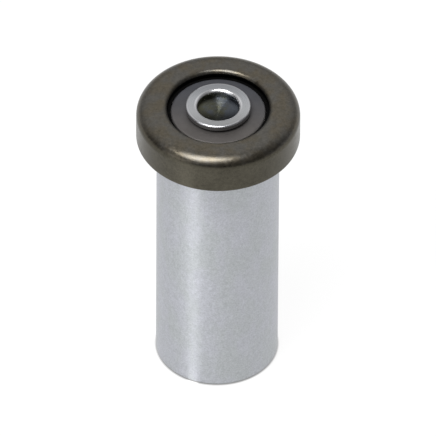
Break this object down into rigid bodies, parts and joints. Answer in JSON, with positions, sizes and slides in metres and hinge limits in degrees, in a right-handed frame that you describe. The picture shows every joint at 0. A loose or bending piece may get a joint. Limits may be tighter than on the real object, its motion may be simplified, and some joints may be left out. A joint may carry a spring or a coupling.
{
  "type": "cam follower",
  "caption": "Stud-type cam follower: sealed ball-bearing roller held on the turned neck of a plain round shank by its spread end.",
  "frame": {"origin": "centre of the shank's free end face, which is the lowest point of the part", "axes": "+Z along the part's axis from the shank's free end towards the roller; X and Y are square to it, and the first ball lies on +X at rest"},
  "size_m": [0.0382, 0.0382, 0.0762],
  "materials": {
    "zinc_plated_steel": "matte zinc plating over steel",
    "washer_steel": "plain turned steel",
    "race_steel": "grey hardened steel, ground face",
    "roller_steel": "dark bronze-grey hardened steel, smooth",
    "cage_steel": "pressed sheet steel",
    "rivet_steel": "headed steel rivets",
    "ball_steel": "polished bearing steel",
    "seal_rubber": "black nitrile rubber"
  },
  "bodies": {
    "stud": {"stud": "zinc_plated_steel", "spacer_washer": "washer_steel", "inner_race": "race_steel"},
    "roller": {"outer_race": "roller_steel", "upper_seal": "seal_rubber", "lower_seal": "seal_rubber"},
    "cage": {"cage_upper": "cage_steel", "cage_lower": "cage_steel", "cage_rivets": "rivet_steel"},
    "ball_01": {"ball_01": "ball_steel"},
    "ball_02": {"ball_02": "ball_steel"},
    "ball_03": {"ball_03": "ball_steel"},
    "ball_04": {"ball_04": "ball_steel"},
    "ball_05": {"ball_05": "ball_steel"},
    "ball_06": {"ball_06": "ball_steel"},
    "ball_07": {"ball_07": "ball_steel"},
    "ball_08": {"ball_08": "ball_steel"},
    "ball_09": {"ball_09": "ball_steel"},
    "ball_10": {"ball_10": "ball_steel"},
    "ball_11": {"ball_11": "ball_steel"},
    "ball_12": {"ball_12": "ball_steel"}
  },
  "joints": [
    {"name": "roller_spin", "type": "hinge", "parent": "stud", "child": "roller", "pos_m": [0, 0, 0.07104], "axis": [0, 0, 1], "continuous": true},
    {"name": "cage_orbit", "type": "hinge", "parent": "stud", "child": "cage", "pos_m": [0, 0, 0.07104], "axis": [0, 0, 1], "continuous": true},
    {"name": "ball_01_spin", "type": "hinge", "parent": "cage", "child": "ball_01", "pos_m": [0.0125, 0, 0.07104], "axis": [0, 0, 1], "continuous": true},
    {"name": "ball_02_spin", "type": "hinge", "parent": "cage", "child": "ball_02", "pos_m": [0.01083, 0.00625, 0.07104], "axis": [0, 0, 1], "continuous": true},
    {"name": "ball_03_spin", "type": "hinge", "parent": "cage", "child": "ball_03", "pos_m": [0.00625, 0.01083, 0.07104], "axis": [0, 0, 1], "continuous": true},
    {"name": "ball_04_spin", "type": "hinge", "parent": "cage", "child": "ball_04", "pos_m": [0, 0.0125, 0.07104], "axis": [0, 0, 1], "continuous": true},
    {"name": "ball_05_spin", "type": "hinge", "parent": "cage", "child": "ball_05", "pos_m": [-0.00625, 0.01083, 0.07104], "axis": [0, 0, 1], "continuous": true},
    {"name": "ball_06_spin", "type": "hinge", "parent": "cage", "child": "ball_06", "pos_m": [-0.01083, 0.00625, 0.07104], "axis": [0, 0, 1], "continuous": true},
    {"name": "ball_07_spin", "type": "hinge", "parent": "cage", "child": "ball_07", "pos_m": [-0.0125, 0, 0.07104], "axis": [0, 0, 1], "continuous": true},
    {"name": "ball_08_spin", "type": "hinge", "parent": "cage", "child": "ball_08", "pos_m": [-0.01083, -0.00625, 0.07104], "axis": [0, 0, 1], "continuous": true},
    {"name": "ball_09_spin", "type": "hinge", "parent": "cage", "child": "ball_09", "pos_m": [-0.00625, -0.01083, 0.07104], "axis": [0, 0, 1], "continuous": true},
    {"name": "ball_10_spin", "type": "hinge", "parent": "cage", "child": "ball_10", "pos_m": [0, -0.0125, 0.07104], "axis": [0, 0, 1], "continuous": true},
    {"name": "ball_11_spin", "type": "hinge", "parent": "cage", "child": "ball_11", "pos_m": [0.00625, -0.01083, 0.07104], "axis": [0, 0, 1], "continuous": true},
    {"name": "ball_12_spin", "type": "hinge", "parent": "cage", "child": "ball_12", "pos_m": [0.01083, -0.00625, 0.07104], "axis": [0, 0, 1], "continuous": true}
  ],
  "couplings": [
    {"joint": "cage_orbit", "follows": "roller_spin", "ratio": 0.57937},
    {"joint": "ball_01_spin", "follows": "roller_spin", "ratio": 3.0702},
    {"joint": "ball_02_spin", "follows": "roller_spin", "ratio": 3.0702},
    {"joint": "ball_03_spin", "follows": "roller_spin", "ratio": 3.0702},
    {"joint": "ball_04_spin", "follows": "roller_spin", "ratio": 3.0702},
    {"joint": "ball_05_spin", "follows": "roller_spin", "ratio": 3.0702},
    {"joint": "ball_06_spin", "follows": "roller_spin", "ratio": 3.0702},
    {"joint": "ball_07_spin", "follows": "roller_spin", "ratio": 3.0702},
    {"joint": "ball_08_spin", "follows": "roller_spin", "ratio": 3.0702},
    {"joint": "ball_09_spin", "follows": "roller_spin", "ratio": 3.0702},
    {"joint": "ball_10_spin", "follows": "roller_spin", "ratio": 3.0702},
    {"joint": "ball_11_spin", "follows": "roller_spin", "ratio": 3.0702},
    {"joint": "ball_12_spin", "follows": "roller_spin", "ratio": 3.0702}
  ]
}
